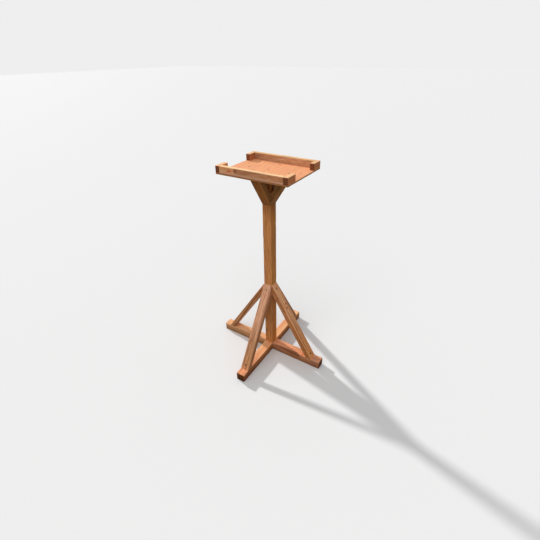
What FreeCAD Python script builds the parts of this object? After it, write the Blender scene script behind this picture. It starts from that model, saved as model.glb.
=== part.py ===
import FreeCAD, Part
import math
import os

# A free-standing wooden bird table, in millimetres.
# The origin is on the ground under the middle of the post. +Z is up, the front is -Y, the right is +X.

# Square timber of the post and the two foot beams
POST_SIDE = 47.0
FOOT_LENGTH_SIDE_TO_SIDE = 650.0
FOOT_LENGTH_FRONT_TO_BACK = 629.0
LAP_CLEARANCE = 0.1

# Tray
BOARD_UNDERSIDE_HEIGHT = 1054.0
BOARD_THICKNESS = 7.0
TRAY_LENGTH = 362.0
TRAY_DEPTH = 294.0
RAIL_HEIGHT = 30.5
RAIL_THICKNESS = 21.5
RETURN_LENGTH = 63.0

# Braces, cut from flat timber as wide as the post
BRACE_THICKNESS = 29.0
LEG_BRACE_TOP = 459.0
LEG_BRACE_REACH = 275.0
LEFT_LEG_BRACE_REACH = 288.0
HEAD_BRACE_BOTTOM = 905.0
HEAD_BRACE_REACH = 117.0

# Eased edges of the planed timber
TIMBER_EASING = 1.5
BOARD_EASING = 0.8

# Wood screws: thread diameter, length, head diameter
SMALL_SCREW = (4.0, 25.0, 8.0)
RAIL_SCREW = (4.0, 30.0, 8.0)
BRACE_SCREW = (4.5, 40.0, 9.0)
HEAD_BRACE_SCREW = (4.5, 35.0, 9.0)
FOOT_SCREW = (4.5, 50.0, 9.0)
POST_SCREW = (6.0, 100.0, 12.0)
THREAD_PITCH_PER_DIAMETER = 0.55
THREAD_ROOT_PER_CREST = 0.72
THREADED_SHARE = 0.6
POINT_LENGTH_PER_DIAMETER = 1.2
HEAD_RIM = 0.4
HEAD_SINK = 0.3
DRILL_CLEARANCE = 0.05
RECESS_WIDTH_PER_HEAD = 0.16
RECESS_SPAN_PER_HEAD = 0.6
RECESS_DEPTH_PER_HEAD = 0.3

# Screw places
BOARD_SCREW_OFFSET_X = 105.0
BOARD_SCREW_OFFSET_Y = 101.0
RAIL_SCREW_OFFSET = 105.0
RETURN_SCREW_FROM_ENDS = 15.0
BRACE_SCREW_FROM_TOP = 31.5
BRACE_SCREW_FROM_BOTTOM = 26.0
BRACE_BOTTOM_SCREW_LEAN = 15.0
BRACE_SCREW_POCKET = 14.0
BRACE_SCREW_POCKET_DEPTH = 3.5
HEAD_BRACE_SCREW_FROM_BOTTOM = 20.0
POST_SCREW_OFFSET = 9.0
POST_SCREW_SINK = 2.0

# Heights and half sizes that follow
POST_HALF = POST_SIDE / 2.0
BOARD_TOP = BOARD_UNDERSIDE_HEIGHT + BOARD_THICKNESS
TRAY_HALF_LENGTH = TRAY_LENGTH / 2.0
TRAY_HALF_DEPTH = TRAY_DEPTH / 2.0

# The four sides that the braces stand on, as turns about the post from the right-hand side
SIDE_ANGLES = {"right": 0.0, "back": 90.0, "left": 180.0, "front": 270.0}

X_AXIS = FreeCAD.Vector(1, 0, 0)
Y_AXIS = FreeCAD.Vector(0, 1, 0)
Z_AXIS = FreeCAD.Vector(0, 0, 1)
CENTRE = FreeCAD.Vector(0, 0, 0)


def leg_brace_reach(side):
    """The left leg brace stands a little further out than the other three."""
    return LEFT_LEG_BRACE_REACH if side == "left" else LEG_BRACE_REACH


def long_edges(shape, direction):
    """Straight edges of a stick that run along the given direction."""
    chosen = []
    for edge in shape.Edges:
        along = edge.tangentAt(edge.FirstParameter)
        if abs(abs(along.dot(direction)) - 1.0) < 1e-6:
            chosen.append(edge)
    return chosen


def timber(low, high, grain, easing=TIMBER_EASING):
    """A straight stick between two corners, with the edges along its grain eased."""
    size = high - low
    stick = Part.makeBox(size.x, size.y, size.z, low)
    return stick.makeFillet(easing, long_edges(stick, grain))


def centred_timber(size_x, size_y, low_z, high_z, grain):
    """A straight stick centred on the post's axis."""
    low = FreeCAD.Vector(-size_x / 2.0, -size_y / 2.0, low_z)
    high = FreeCAD.Vector(size_x / 2.0, size_y / 2.0, high_z)
    return timber(low, high, grain)


def turned(shape, angle):
    """The same piece turned about the post's axis."""
    copy = shape.copy()
    copy.rotate(CENTRE, Z_AXIS, angle)
    return copy


def slanted_stick(corners):
    """Flat timber across the full width of the post, from four corners of its side view in X and Z."""
    points = [FreeCAD.Vector(x, -POST_HALF, z) for x, z in corners]
    face = Part.Face(Part.makePolygon(points + points[:1]))
    stick = face.extrude(FreeCAD.Vector(0, POST_SIDE, 0))
    slope = (points[1] - points[0]).normalize()
    return stick.makeFillet(TIMBER_EASING, long_edges(stick, slope))


def leg_brace_angle(reach):
    """Slope of a leg brace above the ground, in radians."""
    return math.atan2(LEG_BRACE_TOP - POST_SIDE, reach - POST_HALF)


def head_brace_angle():
    """Slope of a head brace above the horizontal, in radians."""
    return math.atan2(BOARD_UNDERSIDE_HEIGHT - HEAD_BRACE_BOTTOM, HEAD_BRACE_REACH - POST_HALF)


def leg_brace(side):
    """A brace cut upright against the post and level on top of a foot."""
    reach = leg_brace_reach(side)
    angle = leg_brace_angle(reach)
    corners = [
        (POST_HALF, LEG_BRACE_TOP),
        (reach, POST_SIDE),
        (reach - BRACE_THICKNESS / math.sin(angle), POST_SIDE),
        (POST_HALF, LEG_BRACE_TOP - BRACE_THICKNESS / math.cos(angle)),
    ]
    return turned(slanted_stick(corners), SIDE_ANGLES[side])


def head_brace(side):
    """A brace cut upright against the post and level under the tray board."""
    angle = head_brace_angle()
    corners = [
        (POST_HALF, HEAD_BRACE_BOTTOM),
        (HEAD_BRACE_REACH, BOARD_UNDERSIDE_HEIGHT),
        (HEAD_BRACE_REACH - BRACE_THICKNESS / math.sin(angle), BOARD_UNDERSIDE_HEIGHT),
        (POST_HALF, HEAD_BRACE_BOTTOM + BRACE_THICKNESS / math.cos(angle)),
    ]
    return turned(slanted_stick(corners), SIDE_ANGLES[side])


def lap_notch(low_z, high_z):
    """The block that a half lap takes out of a foot beam at the crossing."""
    side = POST_SIDE + 2.0 * LAP_CLEARANCE
    return Part.makeBox(side, side, high_z - low_z, FreeCAD.Vector(-side / 2.0, -side / 2.0, low_z))


def foot_beam_side_to_side():
    """The foot beam along X, notched from above at the crossing."""
    beam = centred_timber(FOOT_LENGTH_SIDE_TO_SIDE, POST_SIDE, 0.0, POST_SIDE, X_AXIS)
    return beam.cut(lap_notch(POST_SIDE / 2.0, POST_SIDE + 1.0))


def foot_beam_front_to_back():
    """The foot beam along Y, notched from below at the crossing."""
    beam = centred_timber(POST_SIDE, FOOT_LENGTH_FRONT_TO_BACK, 0.0, POST_SIDE, Y_AXIS)
    return beam.cut(lap_notch(-1.0, POST_SIDE / 2.0))


def post():
    """The upright, from the crossed feet to the underside of the tray board."""
    return centred_timber(POST_SIDE, POST_SIDE, POST_SIDE, BOARD_UNDERSIDE_HEIGHT, Z_AXIS)


def tray_board():
    """The floor of the tray, flush with the outer faces of the rails."""
    low = FreeCAD.Vector(-TRAY_HALF_LENGTH, -TRAY_HALF_DEPTH, BOARD_UNDERSIDE_HEIGHT)
    size = FreeCAD.Vector(TRAY_LENGTH, TRAY_DEPTH, BOARD_THICKNESS)
    board = Part.makeBox(size.x, size.y, size.z, low)
    return board.makeFillet(BOARD_EASING, long_edges(board, X_AXIS) + long_edges(board, Y_AXIS))


def rail(side_sign):
    """A rail along the front (-1) or the back (+1) edge, between the corner returns."""
    half = TRAY_HALF_LENGTH - RAIL_THICKNESS
    outer = side_sign * TRAY_HALF_DEPTH
    inner = side_sign * (TRAY_HALF_DEPTH - RAIL_THICKNESS)
    low = FreeCAD.Vector(-half, min(outer, inner), BOARD_TOP)
    high = FreeCAD.Vector(half, max(outer, inner), BOARD_TOP + RAIL_HEIGHT)
    return timber(low, high, X_AXIS)


def corner_return(x_sign, y_sign):
    """A short side piece that laps the end of a rail and runs in along the side of the tray."""
    x_outer = x_sign * TRAY_HALF_LENGTH
    x_inner = x_sign * (TRAY_HALF_LENGTH - RAIL_THICKNESS)
    y_outer = y_sign * TRAY_HALF_DEPTH
    y_inner = y_sign * (TRAY_HALF_DEPTH - RETURN_LENGTH)
    low = FreeCAD.Vector(min(x_outer, x_inner), min(y_outer, y_inner), BOARD_TOP)
    high = FreeCAD.Vector(max(x_outer, x_inner), max(y_outer, y_inner), BOARD_TOP + RAIL_HEIGHT)
    return timber(low, high, Y_AXIS)


def revolved(profile):
    """A solid turned about Z from a closed profile of radius and height."""
    points = [FreeCAD.Vector(radius, 0, height) for radius, height in profile]
    face = Part.Face(Part.makePolygon(points + points[:1]))
    return face.revolve(CENTRE, Z_AXIS, 360.0)


def countersunk_screw(kind):
    """A wood screw pointing down -Z with the top of its head at the origin."""
    diameter, length, head_diameter = kind
    crest = diameter / 2.0
    root = crest * THREAD_ROOT_PER_CREST
    head_radius = head_diameter / 2.0
    cone_end = -HEAD_RIM - (head_radius - root)
    point_start = -length + POINT_LENGTH_PER_DIAMETER * diameter
    pitch = THREAD_PITCH_PER_DIAMETER * diameter
    ridges = int(THREADED_SHARE * length / pitch)
    profile = [(0.0, 0.0), (head_radius, 0.0), (head_radius, -HEAD_RIM), (root, cone_end)]
    for number in range(ridges):
        start = point_start + (ridges - number) * pitch
        profile.append((root, start))
        profile.append((crest, start - 0.4 * pitch))
        profile.append((root, start - 0.8 * pitch))
    profile.append((root, point_start))
    profile.append((0.0, -length))
    return revolved(profile).cut(cross_recess(head_diameter))


def cross_recess(head_diameter):
    """The crossed slots in a screw head."""
    width = RECESS_WIDTH_PER_HEAD * head_diameter
    span = RECESS_SPAN_PER_HEAD * head_diameter
    depth = RECESS_DEPTH_PER_HEAD * head_diameter
    slot = Part.makeBox(span, width, depth + 1.0, FreeCAD.Vector(-span / 2.0, -width / 2.0, -depth))
    return slot.fuse(turned(slot, 90.0))


def screw_hole(kind, pocket=None):
    """The drilled and countersunk hole for a screw, with an optional round pocket above its head."""
    diameter, length, head_diameter = kind
    crest = diameter / 2.0 + DRILL_CLEARANCE
    head_radius = head_diameter / 2.0 + DRILL_CLEARANCE
    top = HEAD_SINK + 1.0
    cone_end = -HEAD_RIM - (head_radius - crest)
    point_start = -length + POINT_LENGTH_PER_DIAMETER * diameter
    profile = [
        (0.0, top),
        (head_radius, top),
        (head_radius, -HEAD_RIM),
        (crest, cone_end),
        (crest, point_start),
        (0.0, -length - DRILL_CLEARANCE),
    ]
    hole = revolved(profile)
    if pocket:
        hole = hole.fuse(Part.makeCylinder(pocket[0] / 2.0, pocket[1], CENTRE, Z_AXIS))
    return hole


def aimed(shape, head_centre, direction):
    """The shape moved from pointing down -Z at the origin to a place and a direction."""
    copy = shape.copy()
    turn = FreeCAD.Rotation(FreeCAD.Vector(0, 0, -1), direction)
    copy.Placement = FreeCAD.Placement(head_centre, turn)
    return copy


class ScrewSet:
    """Screws of one kind that share a name: where they are, and the holes that they need."""

    def __init__(self, kind, pocket=None):
        self.kind = kind
        self.pocket = pocket
        self.places = []

    def add(self, head_centre, direction, side=None):
        """Add one screw. A side name turns a place given for the right-hand side about the post."""
        if side:
            turn = FreeCAD.Rotation(Z_AXIS, SIDE_ANGLES[side])
            head_centre = turn.multVec(head_centre)
            direction = turn.multVec(direction)
        self.places.append((head_centre, direction))

    def screws(self):
        """All the screws of the set, as separate solids."""
        single = countersunk_screw(self.kind)
        return Part.makeCompound([aimed(single, centre, way) for centre, way in self.places])

    def holes(self):
        """One hole for each screw."""
        single = screw_hole(self.kind, self.pocket)
        return [aimed(single, centre, way) for centre, way in self.places]


def board_screws():
    """Down through the board: one into the post and one into each head brace."""
    chosen = ScrewSet(SMALL_SCREW)
    height = BOARD_TOP - HEAD_SINK
    places = [(0, 0), (1, 0), (-1, 0), (0, 1), (0, -1)]
    for x, y in places:
        chosen.add(FreeCAD.Vector(x * BOARD_SCREW_OFFSET_X, y * BOARD_SCREW_OFFSET_Y, height), -Z_AXIS)
    return chosen


def rail_screws():
    """Up through the board into the front and back rails."""
    chosen = ScrewSet(RAIL_SCREW)
    y = TRAY_HALF_DEPTH - RAIL_THICKNESS / 2.0
    for x_sign in (-1, 1):
        for y_sign in (-1, 1):
            place = FreeCAD.Vector(x_sign * RAIL_SCREW_OFFSET, y_sign * y, BOARD_UNDERSIDE_HEIGHT + HEAD_SINK)
            chosen.add(place, Z_AXIS)
    return chosen


def corner_screws():
    """Up through the board into the corner returns, near both ends of each."""
    chosen = ScrewSet(RAIL_SCREW)
    x = TRAY_HALF_LENGTH - RAIL_THICKNESS / 2.0
    for x_sign in (-1, 1):
        for y_sign in (-1, 1):
            for from_outer_end in (RETURN_SCREW_FROM_ENDS, RETURN_LENGTH - RETURN_SCREW_FROM_ENDS):
                y = y_sign * (TRAY_HALF_DEPTH - from_outer_end)
                chosen.add(FreeCAD.Vector(x_sign * x, y, BOARD_UNDERSIDE_HEIGHT + HEAD_SINK), Z_AXIS)
    return chosen


def leg_brace_top_screws():
    """Square through each leg brace into the post, near the brace's top edge."""
    chosen = ScrewSet(BRACE_SCREW)
    for side in SIDE_ANGLES:
        angle = leg_brace_angle(leg_brace_reach(side))
        inward = FreeCAD.Vector(-math.sin(angle), 0, -math.cos(angle))
        down_face = FreeCAD.Vector(math.cos(angle), 0, -math.sin(angle))
        edge = FreeCAD.Vector(POST_HALF, 0, LEG_BRACE_TOP)
        chosen.add(edge + down_face * BRACE_SCREW_FROM_TOP + inward * HEAD_SINK, inward, side)
    return chosen


def leg_brace_bottom_screws():
    """Steeply through the lower end of each leg brace into its foot beam, heads sunk in round pockets."""
    chosen = ScrewSet(FOOT_SCREW, (FOOT_SCREW[2] + 1.0, BRACE_SCREW_POCKET))
    lean = math.radians(BRACE_BOTTOM_SCREW_LEAN)
    aim = FreeCAD.Vector(-math.sin(lean), 0, -math.cos(lean))
    for side in SIDE_ANGLES:
        reach = leg_brace_reach(side)
        angle = leg_brace_angle(reach)
        up_face = FreeCAD.Vector(-math.cos(angle), 0, math.sin(angle))
        edge = FreeCAD.Vector(reach, 0, POST_SIDE)
        chosen.add(edge + up_face * BRACE_SCREW_FROM_BOTTOM + aim * BRACE_SCREW_POCKET_DEPTH, aim, side)
    return chosen


def head_brace_screws():
    """Square through the lower end of each head brace into the post."""
    chosen = ScrewSet(HEAD_BRACE_SCREW)
    angle = head_brace_angle()
    inward = FreeCAD.Vector(-math.sin(angle), 0, math.cos(angle))
    up_face = FreeCAD.Vector(math.cos(angle), 0, math.sin(angle))
    edge = FreeCAD.Vector(POST_HALF, 0, HEAD_BRACE_BOTTOM)
    place = edge + up_face * HEAD_BRACE_SCREW_FROM_BOTTOM + inward * HEAD_SINK
    for side in SIDE_ANGLES:
        chosen.add(place, inward, side)
    return chosen


def post_foot_screws():
    """Two long screws up through the crossed feet into the end of the post."""
    chosen = ScrewSet(POST_SCREW, (POST_SCREW[2] + 1.0, POST_SCREW_SINK + 1.0))
    for sign in (-1, 1):
        place = FreeCAD.Vector(sign * POST_SCREW_OFFSET, sign * POST_SCREW_OFFSET, POST_SCREW_SINK)
        chosen.add(place, Z_AXIS)
    return chosen


def wooden_pieces():
    """Every wooden piece by name, before its holes are drilled."""
    pieces = {
        "tray_board": tray_board(),
        "front_rail": rail(-1),
        "back_rail": rail(1),
        "post": post(),
        "foot_beam_side_to_side": foot_beam_side_to_side(),
        "foot_beam_front_to_back": foot_beam_front_to_back(),
    }
    for y_name, y_sign in (("front", -1), ("back", 1)):
        for x_name, x_sign in (("left", -1), ("right", 1)):
            pieces["corner_return_" + y_name + "_" + x_name] = corner_return(x_sign, y_sign)
    for side in SIDE_ANGLES:
        pieces["head_brace_" + side] = head_brace(side)
        pieces["leg_brace_" + side] = leg_brace(side)
    return pieces


def screw_sets():
    """Every set of screws by name."""
    return {
        "board_screws": board_screws(),
        "rail_screws": rail_screws(),
        "corner_screws": corner_screws(),
        "leg_brace_top_screws": leg_brace_top_screws(),
        "leg_brace_bottom_screws": leg_brace_bottom_screws(),
        "head_brace_screws": head_brace_screws(),
        "post_foot_screws": post_foot_screws(),
    }


def drilled(piece, holes):
    """The piece with every hole cut that reaches it."""
    reaching = [hole for hole in holes if hole.BoundBox.intersect(piece.BoundBox)]
    return piece.cut(Part.makeCompound(reaching)) if reaching else piece


def build():
    """Write one STEP file for each piece and each set of screws."""
    os.makedirs("parts", exist_ok=True)
    sets = screw_sets()
    holes = [hole for chosen in sets.values() for hole in chosen.holes()]
    shapes = {name: drilled(piece, holes) for name, piece in wooden_pieces().items()}
    shapes.update({name: chosen.screws() for name, chosen in sets.items()})
    for name, shape in shapes.items():
        shape.exportStep(os.path.join("parts", name + ".step"))
        print(name, "valid" if shape.isValid() else "NOT VALID", len(shape.Solids), round(shape.Volume))


build()
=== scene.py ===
import logging
import math
from dataclasses import dataclass, replace
from enum import Enum
from itertools import product
from typing import Any, Iterable, Mapping, Optional, Sequence, Union

import bpy
import numpy as np
from mathutils import Matrix, Vector


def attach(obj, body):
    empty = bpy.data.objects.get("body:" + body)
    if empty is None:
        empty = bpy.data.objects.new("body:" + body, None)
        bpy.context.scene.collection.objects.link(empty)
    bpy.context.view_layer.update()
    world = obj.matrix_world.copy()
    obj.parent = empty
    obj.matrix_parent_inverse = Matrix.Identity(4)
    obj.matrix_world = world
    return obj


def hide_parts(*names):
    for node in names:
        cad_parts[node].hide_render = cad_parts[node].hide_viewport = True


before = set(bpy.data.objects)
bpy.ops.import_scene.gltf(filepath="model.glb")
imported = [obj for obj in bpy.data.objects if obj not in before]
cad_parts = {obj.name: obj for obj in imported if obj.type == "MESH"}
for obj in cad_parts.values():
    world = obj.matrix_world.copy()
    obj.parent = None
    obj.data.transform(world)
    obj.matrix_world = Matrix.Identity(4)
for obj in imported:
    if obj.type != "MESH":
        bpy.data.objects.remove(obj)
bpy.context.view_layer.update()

# Millimetres throughout, apart from meshes, lamps and the camera, which are in metres.
# The origin is on the ground under the middle of the post. +Z is up, the front is -Y, the right is +X.
METRE = 1000.0
MILLIMETRE = 0.001

POST_SIDE = 47.0
POST_HALF = POST_SIDE / 2
FOOT_LENGTH_SIDE_TO_SIDE = 650.0
FOOT_LENGTH_FRONT_TO_BACK = 629.0
LAP_CLEARANCE = 0.1
BOARD_UNDERSIDE_HEIGHT = 1054.0
BOARD_THICKNESS = 7.0
BOARD_TOP = BOARD_UNDERSIDE_HEIGHT + BOARD_THICKNESS
TRAY_LENGTH = 362.0
TRAY_DEPTH = 294.0
RAIL_HEIGHT = 30.5
RAIL_THICKNESS = 21.5
RETURN_LENGTH = 63.0
BRACE_THICKNESS = 29.0
LEG_BRACE_TOP = 459.0
LEG_BRACE_REACH = 275.0
LEFT_LEG_BRACE_REACH = 288.0
HEAD_BRACE_BOTTOM = 905.0
HEAD_BRACE_REACH = 117.0
HEAD_SINK = 0.3
DRILL_CLEARANCE = 0.05

HEAD_RIM = 0.4
POCKET_CLEARANCE = 0.5
TIP_DIAMETERS = 1.2

# Where a mesh has its lines along an edge, the width that they take, and how close lines along the grain
# may come, as shares of the easing.
EDGE_LINES = np.array([0.0, 0.12, 0.35, 0.7, 1.1])
EDGE_WIDTH = 1.6
CLOSEST_LINES = 0.1

LAST_LINE_FROM_END = 0.05
KNOT_MARGIN = 5.0
SHARP_EDGE_ANGLE = 38.0

# The easing swells and thins in waves: size, millimetres to a radian, and shift with the seed. It stays
# between a share of itself and a share of the timber's thinner half.
EASING_WAVES = ((0.22, 41.0, 1.0), (0.14, 13.0, 2.3))
LEAST_EASING = 0.3
MOST_EASING = 0.8

# The planed faces are uneven by so much, in waves of so many millimetres to a radian: two along the
# grain and one across it.
PLANING_DEPTH = 0.04
PLANING_WAVES = (23.0, 61.0, 19.0)

# Dents along the edges: how many at least, the half length that brings one more, the share of it that
# they lie in, and the ranges of their sizes.
DENTS_AT_LEAST = 3
DENT_SPACING = 60
DENT_SPAN = 0.97
DENT_LENGTH = (3.0, 9.0)
DENT_WIDTH = (1.2, 2.6)
DENT_DEPTH = (0.25, 0.8)

# The shares of a growth ring over which its late wood sets in, and over which it stops.
LATE_WOOD_START = (0.25, 0.86)
LATE_WOOD_STOP = (0.91, 1.0)

# Ring widths vary in waves: size, radians to a ring, and shift with the trunk's phase.
RING_WAVES = ((0.35, 0.83, 1.0), (0.18, 2.3, 1.7))

# Rings bulge round a knot by a share of its radius, over so many radii and so many millimetres more.
KNOT_BULGE = 0.9
KNOT_BULGE_RADII = 1.7
KNOT_BULGE_MORE = 2.0

# Each step of a timber's seed moves its noises so far along the grain.
NOISE_SHIFT = 37.0

Triple = tuple[float, float, float]
Shade = tuple[float, float, Triple]
Mesh = tuple[np.ndarray, list[tuple[int, ...]]]

log = logging.getLogger("bird_table")


def linear(red: float, green: float, blue: float) -> Triple:
    """Turn a colour written on the scale of 0 to 255 into the linear values that a shader takes."""
    parts = (value / 255.0 for value in (red, green, blue))
    return tuple(v / 12.92 if v <= 0.04045 else ((v + 0.055) / 1.055) ** 2.4 for v in parts)


class Wire:
    """One socket of a material. Python expressions on it add the nodes that work them out."""

    def __init__(self, bench: "Bench", socket: bpy.types.NodeSocket) -> None:
        """Keep an output socket and the bench that its node stands on."""
        self.bench = bench
        self.socket = socket

    @property
    def is_vector(self) -> bool:
        """True where the socket carries a vector or a colour."""
        return self.socket.type in {"VECTOR", "RGBA"}

    def beside(self, name: str) -> "Wire":
        """Another output of the same node."""
        return Wire(self.bench, self.socket.node.outputs[name])

    def __add__(self, other: Any) -> "Wire":
        """Sum."""
        return self.bench.math("ADD", self, other)

    def __radd__(self, other: Any) -> "Wire":
        """Sum, with the plain number first."""
        return self + other

    def __sub__(self, other: Any) -> "Wire":
        """Difference."""
        return self.bench.math("SUBTRACT", self, other)

    def __rsub__(self, other: Any) -> "Wire":
        """Difference, with the plain number first."""
        return self.bench.math("SUBTRACT", other, self)

    def __mul__(self, other: Any) -> "Wire":
        """Product. A vector times one number is scaled by it.

        Args:
            other: A number, a vector or a wire.

        Returns:
            The product.
        """
        many = isinstance(other, (tuple, Vector)) or isinstance(other, Wire) and other.is_vector
        if many or not self.is_vector:
            return self.bench.math("MULTIPLY", self, other)
        return self.bench.node("ShaderNodeVectorMath", {"operation": "SCALE"}, {0: self, "Scale": other})

    def __rmul__(self, other: Any) -> "Wire":
        """Product, with the plain number first."""
        return self * other

    def __truediv__(self, other: float) -> "Wire":
        """Quotient with a plain number."""
        return self * (1.0 / other)

    def whole(self) -> "Wire":
        """The next whole number down."""
        return self.bench.math("FLOOR", self)

    def size(self) -> "Wire":
        """The value without its sign."""
        return self.bench.math("ABSOLUTE", self)

    def angle(self, other: "Wire") -> "Wire":
        """Angle of the point (other, this) from the first axis, in radians."""
        return self.bench.math("ARCTAN2", self, other)

    def lower(self, other: Any) -> "Wire":
        """The lower of two values."""
        return self.bench.math("MINIMUM", self, other)

    def upper(self, other: Any) -> "Wire":
        """The higher of two values."""
        return self.bench.math("MAXIMUM", self, other)

    def dot(self, other: Triple) -> "Wire":
        """Dot product with a fixed direction."""
        return self.bench.math("DOT_PRODUCT", self, other).beside("Value")

    def distance(self, other: Triple) -> "Wire":
        """Distance from a fixed point."""
        return self.bench.math("DISTANCE", self, other).beside("Value")

    def rise(self, start: float, end: float) -> "Wire":
        """A smooth step from 0 at start to 1 at end."""
        sockets = {"Value": self, "From Min": start, "From Max": end}
        return self.bench.node("ShaderNodeMapRange", {"interpolation_type": "SMOOTHSTEP"}, sockets)


Field = Union[np.ndarray, Wire]
Spot = tuple[Field, Field, Field]


# The next six functions take an array or a wire.

def sine(value: Field) -> Field:
    """Sine of the value in radians."""
    return value.bench.math("SINE", value) if isinstance(value, Wire) else np.sin(value)


def root(value: Field) -> Field:
    """Square root."""
    return value.bench.math("SQRT", value) if isinstance(value, Wire) else np.sqrt(np.maximum(value, 0.0))


def exponential(value: Field) -> Field:
    """The number e to this power."""
    return value.bench.math("EXPONENT", value) if isinstance(value, Wire) else np.exp(value)


def fraction(value: Field) -> Field:
    """What is left above the next whole number down."""
    return value.bench.math("FRACT", value) if isinstance(value, Wire) else value - np.floor(value)


def positive(value: Field) -> Field:
    """The value, or 0 where it is lower."""
    return value.upper(0.0) if isinstance(value, Wire) else np.maximum(value, 0.0)


def rise(value: Field, start: float, end: float) -> Field:
    """A smooth step.

    Args:
        value: What steps.
        start: Where the result is still 0.
        end: Where it has come to 1.

    Returns:
        0 to 1.
    """
    if isinstance(value, Wire):
        return value.rise(start, end)
    share = np.clip((value - start) / (end - start), 0.0, 1.0)
    return share * share * (3.0 - 2.0 * share)


class Bench:
    """One material, or the light around the scene, in the making."""

    def __init__(self, owner: Union[bpy.types.Material, bpy.types.World]) -> None:
        """Start with an empty tree of nodes.

        Args:
            owner: What the nodes are for.
        """
        self.owner = owner
        owner.use_nodes = True
        self.tree = owner.node_tree
        self.tree.nodes.clear()

    def node(
        self,
        kind: str,
        settings: Optional[Mapping[str, Any]] = None,
        sockets: Optional[Mapping[Union[str, int], Any]] = None,
        out: Union[str, int] = 0,
    ) -> Wire:
        """Add one node.

        Args:
            kind: The node's type.
            settings: The node's own settings, which are set first.
            sockets: A value or a wire for each input socket.
            out: The output that is wanted.

        Returns:
            That output.
        """
        made = self.tree.nodes.new(kind)
        for key, value in (settings or {}).items():
            setattr(made, key, value)
        for key, value in (sockets or {}).items():
            socket = made.inputs[key]
            if isinstance(value, Wire):
                self.tree.links.new(value.socket, socket)
            elif socket.type == "RGBA" and len(value) == 3:
                socket.default_value = (*value, 1.0)
            elif socket.type == "VECTOR" and isinstance(value, (int, float)):
                socket.default_value = (value, value, value)
            else:
                socket.default_value = value
        return Wire(self, made.outputs[out])

    def math(self, operation: str, *values: Any) -> Wire:
        """Add a Math node, or a Vector Math node where the first value is a vector.

        Args:
            operation: The node's operation.
            *values: What goes into its sockets, in order.

        Returns:
            The node's result.
        """
        vector = isinstance(values[0], Wire) and values[0].is_vector
        kind = "ShaderNodeVectorMath" if vector else "ShaderNodeMath"
        return self.node(kind, {"operation": operation}, dict(enumerate(values)))

    def mix(self, share: Any, first: Any, second: Any) -> Wire:
        """Two colours mixed, with a share from 0 to 1 of the second."""
        return self.node("ShaderNodeMix", {"data_type": "RGBA"}, {0: share, 6: first, 7: second}, 2)

    def vector(self, x: Any, y: Any, z: Any) -> Wire:
        """Three numbers as one vector."""
        return self.node("ShaderNodeCombineXYZ", None, {0: x, 1: y, 2: z})

    def noise(self, place: Wire, detail: float = 2.0, rough: float = 0.5) -> Wire:
        """Soft noise of about 0.2 to 0.8, with so many finer layers, each so strong against the last."""
        sockets = {"Vector": place, "Scale": 1.0, "Detail": detail, "Roughness": rough}
        return self.node("ShaderNodeTexNoise", None, sockets, "Fac")

    def bump(self, height: Wire, strength: float) -> Wire:
        """A normal for a surface that is uneven by a height in millimetres."""
        sockets = {"Height": height, "Strength": strength, "Distance": MILLIMETRE}
        return self.node("ShaderNodeBump", None, sockets)

    def seen(self) -> Wire:
        """1 for what is seen straight, mirrored or through glass, 0 for the light that falls on things."""
        path = self.node("ShaderNodeLightPath", out="Is Camera Ray")
        return path.upper(path.beside("Is Glossy Ray")).upper(path.beside("Is Transmission Ray"))

    def close(self, shader: Wire, output: str = "ShaderNodeOutputMaterial") -> Any:
        """Lead a shader to the output.

        Args:
            shader: The shader.
            output: The output node's type.

        Returns:
            What the nodes are for.
        """
        end = self.tree.nodes.new(output)
        self.tree.links.new(shader.socket, end.inputs["Surface"])
        return self.owner

    def finish(self, sockets: Mapping[str, Any]) -> bpy.types.Material:
        """Close the material with one Principled shader and its sockets."""
        return self.close(self.node("ShaderNodeBsdfPrincipled", None, sockets))


class Side(Enum):
    """The four faces of the post, as turns about it from the right-hand side, in degrees."""

    RIGHT = 0.0
    BACK = 90.0
    LEFT = 180.0
    FRONT = 270.0

    def turn(self, point: Iterable[float]) -> Vector:
        """A point or a direction given for the right-hand side, turned to this side."""
        return Matrix.Rotation(math.radians(self.value), 3, "Z") @ Vector(point)


@dataclass(frozen=True)
class Knot:
    """The trace of a branch: a line from its start at a place on one way, in the timber's own millimetres.

    The timber's own x runs along its grain, y across it and z out of its outer face.
    """

    at: Triple
    radius: float
    aim: Triple = (0.0, 0.0, 1.0)
    stretch: float = 1.0
    tone: float = 0.85

    def distance(self, spot: Spot) -> Field:
        """Distance from the branch's line, with the grain direction drawn in by the stretch.

        Args:
            spot: Place along the grain, across it and through the timber.

        Returns:
            The distance.
        """
        aim = Vector(self.aim).normalized()
        x, y, z = (way - start for way, start in zip(spot, self.at))
        x = x / self.stretch
        along = positive(x * aim.x + y * aim.y + z * aim.z)
        return root(x * x + y * y + z * z - along * along)


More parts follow.
